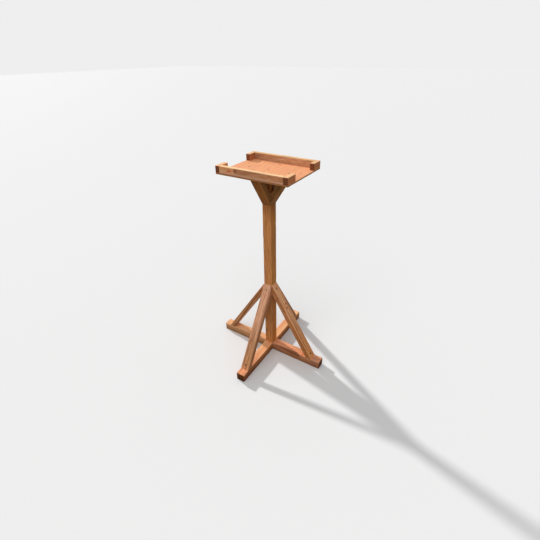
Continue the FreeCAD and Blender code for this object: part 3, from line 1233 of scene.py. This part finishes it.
@dataclass
class Tray:
    """The board, the two rails and the four corner returns."""

    screw_x: float = 105.0
    screw_y: float = 101.0
    rail_screw_x: float = 105.0
    return_screw_from_ends: float = 15.0
    board_finish: StainedBoard = StainedBoard(
        pale=linear(240, 171, 125), dark=linear(215, 136, 90), end=linear(174, 116, 72), contrast=0.5,
        mottle=0.15, streak=0.16, roughness=0.6)
    rail_finish: StainedWood = StainedWood(
        pale=linear(231, 166, 118), dark=linear(142, 82, 54), contrast=0.95, mottle=0.45, streak=0.5,
        top_highlight_and_bleach=0.95, skirt=8.0)
    back_rail_finish: StainedWood = StainedWood(
        pale=linear(216, 172, 133), dark=linear(142, 92, 64), raw_and_highlight=linear(250, 202, 136), contrast=0.95,
        mottle=0.45, streak=0.5, top_highlight_and_bleach=0.6)
    return_finish: StainedWood = StainedWood(
        pale=linear(240, 160, 104), dark=linear(166, 92, 54), contrast=0.85, streak=0.45, top_highlight_and_bleach=0.95)

    def board_holes(self) -> tuple[Hole, ...]:
        """The five screws down through the board, and the ones up into the rails and the returns.

        Returns:
            Their holes. The first is the middle one, over the post.
        """
        x, y, inset = self.screw_x, self.screw_y, self.return_screw_from_ends
        down = [(0.0, 0.0), (x, 0.0), (-x, 0.0), (0.0, y), (0.0, -y)]
        up = []
        for sx, sy in product((-1, 1), repeat=2):
            up.append((sx * self.rail_screw_x, sy * (TRAY_DEPTH - RAIL_THICKNESS) / 2))
            up += [(sx * (TRAY_LENGTH - RAIL_THICKNESS) / 2, sy * (TRAY_DEPTH / 2 - place))
                   for place in (inset, RETURN_LENGTH - inset)]
        top, low = BOARD_TOP - HEAD_SINK, BOARD_UNDERSIDE_HEIGHT + HEAD_SINK
        holes = [Hole(SMALL_SCREW, Vector((*place, top)), -Z_AXIS) for place in down]
        return tuple(holes + [Hole(RAIL_SCREW, Vector((*place, low)), Z_AXIS) for place in up])

    def board(self) -> None:
        """Build the thin floor of the tray, its grain from front to back."""
        knots = (Knot(at=(22.0, -148.0, -4.0), radius=2.6, tone=0.7),)
        sway = {"sway": (6.0, 6.0), "sway_length": (95.0, 62.0)}
        Timber(
            node="tray_board", slot="tray_board", grain=Y_AXIS, outward=Z_AXIS,
            centre=Vector((0.0, 0.0, BOARD_UNDERSIDE_HEIGHT + BOARD_THICKNESS / 2)),
            half=(TRAY_DEPTH / 2, TRAY_LENGTH / 2, BOARD_THICKNESS / 2),
            trunk=Trunk(pith=(70.0, -190.0), ring=5.4, phase=1.3, **sway, knots=knots), seed=3,
            finish=self.board_finish, holes=self.board_holes(), easing=0.8, ridge=0.06, pitch=1.6,
        ).build()

    def strip(self, node: str, x: float, y: float, along: Vector, length: float, **rest: Any) -> None:
        """Build a rail or a corner return, on top of the board.

        Args:
            node: Its node.
            x: Where its middle lies from side to side.
            y: Where its middle lies from front to back.
            along: The way it runs.
            length: Its length.
            **rest: The timber's other fields.
        """
        half = (length / 2, RAIL_THICKNESS / 2, RAIL_HEIGHT / 2)
        wide, deep = half[:2] if along is X_AXIS else (half[1], half[0])
        holes = tuple(hole for hole in self.board_holes() if hole.kind is RAIL_SCREW
                      and abs(hole.head.x - x) < wide and abs(hole.head.y - y) < deep)
        centre = Vector((x, y, BOARD_TOP + RAIL_HEIGHT / 2))
        Timber(node=node, centre=centre, grain=along, outward=Z_AXIS, half=half, holes=holes, **rest).build()

    def rails(self) -> None:
        """Build the front rail, which is spliced, and the back rail."""
        y, length = (TRAY_DEPTH - RAIL_THICKNESS) / 2, TRAY_LENGTH - 2 * RAIL_THICKNESS
        faint_knot = Knot(at=(-108.0, -14.0, 1.0), aim=(0.0, 1.0, 0.1), radius=6.0, tone=0.3)
        long_knot = Knot(at=(-74.0, -14.0, 4.0), aim=(0.1, 1.0, 0.1), radius=4.6, stretch=1.8, tone=0.5)
        left_part = Trunk(pith=(-34.0, -6.0), ring=4.2, phase=2.0, knots=(faint_knot,))
        splice = Splice(-85.0, 4.5, 5.0, left_part, linear(277, 183, 132), linear(262, 152, 100))
        front = Trunk(pith=(6.0, -58.0), ring=3.4, phase=0.4, knots=(long_knot,))
        self.strip("front_rail", 0.0, -y, X_AXIS, length, trunk=front, finish=self.rail_finish, seed=11,
                   splice=splice)
        # The back rail darker toward its left end: painted shade by the back-left return, partly darker wood.
        back = Trunk(pith=(20.0, 46.0), ring=3.8, phase=2.7)
        self.strip("back_rail", 0.0, y, X_AXIS, length, trunk=back, finish=self.back_rail_finish, seed=12,
                   tint=(0.80, 0.75, 0.72), shades=((-0.9, -0.5, (1.27, 1.38, 1.43)),))

    def corners(self) -> None:
        """Build the four corner returns."""
        # Each return's tint, partly its own tone and partly painted light, and the painted shade on its side
        # faces.
        tones = {
            ("front", "left"): ((1.08, 1.10, 1.08), (0.90, 1.06, 1.10)),
            ("front", "right"): ((1.04, 1.07, 1.10), (0.88, 0.78, 0.64)),
            ("back", "left"): ((0.90, 0.92, 0.88), (0.82, 0.90, 1.08)),
            ("back", "right"): ((0.86, 0.80, 0.78), (0.94, 0.94, 0.76)),
        }
        for seed, ((end, side), (tint, side_shade)) in enumerate(tones.items(), start=21):
            x = (TRAY_LENGTH - RAIL_THICKNESS) / (2 if side == "right" else -2)
            y = (TRAY_DEPTH - RETURN_LENGTH) / (2 if end == "back" else -2)
            trunk = Trunk(pith=(10.0 - 9.0 * seed % 31, -28.0 - 5.0 * (seed % 3)), ring=3.1, phase=0.9 * seed)
            self.strip(f"corner_return_{end}_{side}", x, y, Y_AXIS, RETURN_LENGTH, trunk=trunk, seed=seed,
                       finish=replace(self.return_finish, side_shade=side_shade), tint=tint)

    def build(self) -> None:
        """Build every piece of the tray."""
        self.board()
        self.rails()
        self.corners()


@dataclass
class Uprights:
    """The post and the four head braces that carry the tray."""

    lean: Lean = Lean(HEAD_BRACE_BOTTOM, BOARD_UNDERSIDE_HEIGHT, HEAD_BRACE_REACH)
    screw_from_bottom: float = 20.0
    # The post: painted shade under the tray and on its side faces.
    post_finish: StainedWood = StainedWood(
        pale=linear(239, 165, 101), dark=linear(180, 103, 55), contrast=0.7, tray_shade=0.8,
        side_shade=(0.84, 0.78, 0.46))
    # The head braces, in shade under the tray: darker and less blue than the post, painted shade, with their
    # side faces tinted to suit.
    brace_finish: StainedWood = StainedWood(
        pale=linear(222, 146, 78), dark=linear(148, 82, 42), contrast=0.85, streak=0.4,
        side_shade=(0.76, 0.94, 1.16), roughness=0.7, sheen=0.03)
    # Painted shadow: a dark line at each brace's toe where it meets the post, then painted shade that eases
    # off from the lower end upward.
    brace_toe_shadow: Triple = (0.52, 0.48, 0.50)
    brace_shade_steps: tuple[Shade, ...] = ((-0.99, -0.92, (1.64, 1.78, 1.74)), (-0.92, -0.2, (1.20, 1.26, 1.24)))

    def brace_hole(self, side: Side) -> Hole:
        """The screw through the lower end of one head brace."""
        return self.lean.screw(HEAD_BRACE_SCREW, side, self.screw_from_bottom)

    def post(self, holes: tuple[Hole, ...]) -> None:
        """Build the upright.

        Args:
            holes: The screws that end in it.
        """
        knots = (
            Knot(at=(250.0, 8.0, -6.0), aim=(0.25, 1.0, 0.1), radius=5.0),
            Knot(at=(-60.0, 6.0, -8.0), aim=(0.2, 0.1, -1.0), radius=5.5),
            Knot(at=(-330.0, 4.0, 2.0), aim=(-0.2, 1.0, -0.2), radius=4.5),
        )
        sway = {"sway": (5.0, 6.0), "sway_length": (130.0, 170.0)}
        Timber(
            node="post", grain=Z_AXIS, outward=Vector((0.0, -1.0, 0.0)),
            centre=Vector((0.0, 0.0, (POST_SIDE + BOARD_UNDERSIDE_HEIGHT) / 2)),
            half=((BOARD_UNDERSIDE_HEIGHT - POST_SIDE) / 2, POST_HALF, POST_HALF),
            trunk=Trunk(pith=(21.0, -34.0), ring=4.4, phase=0.7, **sway, knots=knots), seed=31, holes=holes,
            # Darker toward the bottom: painted shade below the leg braces.
            finish=self.post_finish, tint=(0.88, 0.88, 0.82), shades=((-0.9, 0.0, (1.13, 1.14, 1.21)),),
        ).build()

    def braces(self) -> None:
        """Build the head braces."""
        back_knot = Knot(at=(18.0, 6.0, -20.0), radius=5.0)
        trunks = {
            Side.FRONT: Trunk(pith=(4.0, -40.0), ring=4.4, phase=0.3),
            Side.RIGHT: Trunk(pith=(-12.0, -32.0), ring=3.9, phase=1.9),
            Side.LEFT: Trunk(pith=(15.0, -30.0), ring=4.1, phase=3.1),
            Side.BACK: Trunk(pith=(-3.0, -52.0), ring=4.6, phase=4.4, knots=(back_knot,)),
        }
        looks = {"finish": self.brace_finish, "tint": self.brace_toe_shadow, "shades": self.brace_shade_steps}
        for seed, (side, trunk) in enumerate(trunks.items(), start=41):
            holes = (self.brace_hole(side),)
            self.lean.brace("head_brace", side, trunk=trunk, seed=seed, holes=holes, **looks).build()


@dataclass
class Base:
    """The two crossed foot beams and the four leg braces."""

    top_screw_down_face: float = 31.5
    bottom_screw_up_face: float = 26.0
    bottom_screw_lean: float = 15.0
    bottom_screw_sink: float = 3.5
    post_screw_offset: float = 9.0
    post_screw_sink: float = 2.0
    notch_beyond: float = 5.0
    brace_ridge: float = 0.2
    # The feet: end grain darker, and darker near the ground: partly their own colour and moisture, partly
    # painted shade.
    foot_finish: StainedWood = StainedWood(
        pale=linear(236, 160, 114), dark=linear(184, 110, 68), end=linear(112, 64, 30), contrast=0.65,
        streak=0.35, worn=0.8, damp_and_ground_shade=0.8)
    # The leg braces: side faces darker as painted shade.
    brace_finish: StainedWood = StainedWood(
        pale=linear(255, 200, 154), dark=linear(160, 96, 66), contrast=0.8, mottle=0.42, streak=0.55,
        side_shade=(0.74, 0.64, 0.52), worn=0.55)

    def lean(self, side: Side) -> Lean:
        """How a leg brace leans. The left one stands a little further out."""
        reach = LEFT_LEG_BRACE_REACH if side is Side.LEFT else LEG_BRACE_REACH
        return Lean(LEG_BRACE_TOP, POST_SIDE, reach)

    def top_hole(self, side: Side) -> Hole:
        """The screw near the top edge of a leg brace."""
        return self.lean(side).screw(BRACE_SCREW, side, self.top_screw_down_face)

    def bottom_hole(self, side: Side) -> Hole:
        """The steep screw through the lower end of a leg brace.

        Args:
            side: The side of the post that the brace stands on.

        Returns:
            Its hole.
        """
        lean, tilt = self.lean(side), math.radians(self.bottom_screw_lean)
        aim = Vector((-math.sin(tilt), 0.0, -math.cos(tilt)))
        place = lean.far - lean.along * self.bottom_screw_up_face + aim * self.bottom_screw_sink
        return Hole(FOOT_SCREW, side.turn(place), side.turn(aim))

    def post_holes(self) -> tuple[Hole, ...]:
        """The two long screws up through the crossed feet."""
        offsets = (-self.post_screw_offset, self.post_screw_offset)
        return tuple(Hole(POST_SCREW, Vector((s, s, self.post_screw_sink)), Z_AXIS) for s in offsets)

    def beam(self, node: str, grain: Vector, length: float, notch: tuple[float, float], side_shade: Triple,
             **rest: Any) -> None:
        """Build one foot beam.

        Args:
            node: The beam's node.
            grain: The way it runs.
            length: Its length.
            notch: Where its half-lap notch starts and ends, above the ground.
            side_shade: Painted shade: what the colour of its upright faces is multiplied by, as the light
                falls on them.
            **rest: The timber's other fields.
        """
        side = POST_HALF + LAP_CLEARANCE
        ends = [s for s in Side if abs(s.turn(X_AXIS).dot(grain)) > 0.5]
        Timber(
            node=node, grain=grain, outward=Z_AXIS, centre=Vector((0.0, 0.0, POST_HALF)),
            half=(length / 2, POST_HALF, POST_HALF), finish=replace(self.foot_finish, side_shade=side_shade),
            holes=tuple(self.bottom_hole(s) for s in ends) + self.post_holes(),
            notches=(((-side, -side, notch[0]), (side, side, notch[1])),), **rest,
        ).build()

    def feet(self) -> None:
        """Build the two foot beams."""
        long_knot = Knot(at=(196.0, -17.0, 13.5), aim=(-1.0, -0.10, 0.07), radius=9.5, tone=0.8)
        # Paler on the left, darker from the post rightwards and again at the right end: painted sun and
        # shade; side faces darker as painted shade.
        self.beam(
            "foot_beam_side_to_side", X_AXIS, FOOT_LENGTH_SIDE_TO_SIDE,
            notch=(POST_HALF, POST_SIDE + self.notch_beyond), side_shade=(0.92, 0.88, 0.81), seed=51,
            trunk=Trunk(pith=(-14.0, -30.0), ring=4.6, sway=(4.0, 5.0), phase=1.1, knots=(long_knot,)),
            tint=(1.10, 1.46, 1.57),
            shades=((-0.25, 0.15, (0.88, 0.74, 0.76)), (0.70, 0.92, (0.81, 0.79, 0.86))),
        )
        # Darker at the front end, paler behind it and a little paler again behind the post: painted light and
        # shade; side faces much darker as painted shade.
        self.beam(
            "foot_beam_front_to_back", Y_AXIS, FOOT_LENGTH_FRONT_TO_BACK,
            notch=(-self.notch_beyond, POST_HALF), side_shade=(0.60, 0.52, 0.39), seed=52,
            trunk=Trunk(pith=(24.0, -40.0), ring=4.2, sway=(5.0, 3.0), phase=2.2),
            tint=(0.96, 0.97, 1.0),
            shades=((-0.9, -0.4, (1.32, 1.50, 1.48)), (-0.05, 0.25, (1.08, 1.06, 1.07))),
        )

    def legs(self) -> None:
        """Build the four leg braces."""
        right_knots = (
            Knot(at=(-112.0, 6.0, -16.0), aim=(0.1, 0.1, 1.0), radius=4.2),
            Knot(at=(-89.0, 1.0, -16.0), aim=(0.1, 0.0, 1.0), radius=4.6),
        )
        back_knots = (Knot(at=(60.0, -8.0, -16.0), radius=5.5),)
        left_knots = (Knot(at=(-30.0, 9.0, -16.0), radius=4.0),)
        # Each leg brace's tint, partly its own tone, the back one darker as painted shade; then painted shade
        # toward its foot.
        looks = {
            Side.FRONT: (Trunk(pith=(56.0, -30.0), ring=5.8, sway=(3.0, 3.0), phase=0.5),
                         (0.92, 0.87, 0.93), (0.84, 0.78, 0.62)),
            Side.RIGHT: (Trunk(pith=(-44.0, -34.0), ring=5.4, sway=(3.0, 4.0), phase=1.6, knots=right_knots),
                         (1.03, 0.91, 0.79), (0.86, 0.79, 0.61)),
            Side.BACK: (Trunk(pith=(12.0, -46.0), ring=5.4, phase=2.6, knots=back_knots),
                        (0.82, 0.76, 0.70), (0.95, 0.95, 0.95)),
            Side.LEFT: (Trunk(pith=(-38.0, -38.0), ring=4.8, phase=3.7, knots=left_knots),
                        (0.92, 0.88, 0.80), (1.0, 1.0, 1.0)),
        }
        for seed, (side, (trunk, tint, foot_end_shade)) in enumerate(looks.items(), start=61):
            self.lean(side).brace(
                "leg_brace", side, trunk=trunk, finish=self.brace_finish, seed=seed, ridge=self.brace_ridge,
                holes=(self.top_hole(side), self.bottom_hole(side)),
                tint=tint, shades=((-0.6, 0.6, foot_end_shade),),
            ).build()

    def build(self) -> None:
        """Build the feet and the leg braces."""
        self.feet()
        self.legs()


@dataclass
class Screws:
    """The screws keep their solids from the frame and get their metal here."""

    finish: ScrewSteel = ScrewSteel()

    def build(self) -> None:
        """Dress every screw."""
        material = self.finish.dress()
        for name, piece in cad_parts.items():
            if not name.endswith("_screws"):
                continue
            slots = max(1, len(piece.material_slots))
            while len(piece.data.materials) < slots:
                piece.data.materials.append(material)
            for slot in piece.material_slots:
                slot.material = material
            log.info("%s dressed", name)


@dataclass(frozen=True)
class Lamp:
    """A distant lamp: its strength, how wide it looks in degrees, and where its light comes from."""

    name: str
    power: float
    width: float
    way: Triple

    def hang(self) -> None:
        """Put the lamp in the scene."""
        data = bpy.data.lights.new(self.name, "SUN")
        data.energy = self.power
        data.angle = math.radians(self.width)
        lamp = bpy.data.objects.new(self.name, data)
        lamp.rotation_mode = "QUATERNION"
        lamp.rotation_quaternion = Vector(self.way).to_track_quat("Z", "Y")
        bpy.context.scene.collection.objects.link(lamp)


@dataclass
class Studio:
    """The floor, the light and the camera."""

    eye: Triple = (0.8210, -1.2875, 1.5013)
    yaw: float = 0.56819
    pitch: float = -0.56338
    roll: float = -0.01553
    lens: float = 23.0
    sensor: float = 36.0
    floor_half: float = 40.0
    backdrop: float = 0.86
    floor_bounce: Triple = (0.11, 0.11, 0.11)
    sky: float = 0.42
    lamps: tuple[Lamp, ...] = (
        Lamp("key", 2.9, 3.5, (-0.867, 0.204, 0.454)),
        Lamp("fill", 0.92, 50.0, (0.10, -0.60, 0.79)),
    )

    @property
    def level(self) -> float:
        """How brightly a white face that looks straight up is lit, with 1 for plain white."""
        return self.sky + sum(lamp.power * Vector(lamp.way).normalized().z / math.pi for lamp in self.lamps)

    def camera(self) -> None:
        """Put the camera at the photograph's viewpoint."""
        flat = math.cos(self.pitch)
        ahead = Vector((-math.sin(self.yaw) * flat, math.cos(self.yaw) * flat, math.sin(self.pitch)))
        right = Vector((math.cos(self.yaw), math.sin(self.yaw), 0.0))
        up = right.cross(ahead)
        turned_right = right * math.cos(self.roll) + up * math.sin(self.roll)
        turned_up = up * math.cos(self.roll) - right * math.sin(self.roll)
        data = bpy.data.cameras.new("camera")
        data.lens = self.lens
        data.sensor_width = self.sensor
        camera = bpy.data.objects.new("camera", data)
        rotation = Matrix((turned_right, turned_up, -ahead)).transposed()
        camera.matrix_world = Matrix.Translation(self.eye) @ rotation.to_4x4()
        bpy.context.scene.collection.objects.link(camera)
        bpy.context.scene.camera = camera

    def floor(self) -> None:
        """Lay the plain floor, pale to the eye and quieter in the light that it throws back."""
        half = self.floor_half * METRE
        corners = np.array([(-half, -half, 0.0), (half, -half, 0.0), (half, half, 0.0), (-half, half, 0.0)])
        floor = mesh_piece("floor", corners, [(0, 1, 2, 3)])
        bench = Bench(bpy.data.materials.new("floor_finish"))
        shown = self.backdrop / self.level
        colour = bench.mix(bench.seen(), self.floor_bounce, (shown, shown, shown))
        sockets = {"Base Color": colour, "Roughness": 0.95, "Specular IOR Level": 0.1}
        floor.data.materials.append(bench.finish(sockets))

    def surround(self) -> None:
        """Give the scene an even pale surround, quieter in its light than it looks."""
        world = bpy.data.worlds.new("surround")
        bpy.context.scene.world = world
        bench = Bench(world)
        strength = bench.node("ShaderNodeMix", None, {0: bench.seen(), 2: self.sky, 3: self.backdrop})
        white = {"Color": (1.0, 1.0, 1.0), "Strength": strength}
        bench.close(bench.node("ShaderNodeBackground", None, white), "ShaderNodeOutputWorld")

    def build(self) -> None:
        """Set up the camera, the floor and the light."""
        self.camera()
        self.floor()
        for lamp in self.lamps:
            lamp.hang()
        self.surround()
        bpy.context.scene.view_settings.view_transform = "Standard"


def main() -> None:
    """Build the bird table from the tray down to the feet, then the studio."""
    logging.basicConfig(level=logging.INFO, format="%(message)s")
    tray, uprights, base = Tray(), Uprights(), Base()
    tray.build()
    brace_holes = [base.top_hole(side) for side in Side] + [uprights.brace_hole(side) for side in Side]
    uprights.post((*brace_holes, *base.post_holes(), tray.board_holes()[0]))
    uprights.braces()
    base.build()
    Screws().build()
    Studio().build()


if __name__ == "__main__":
    main()
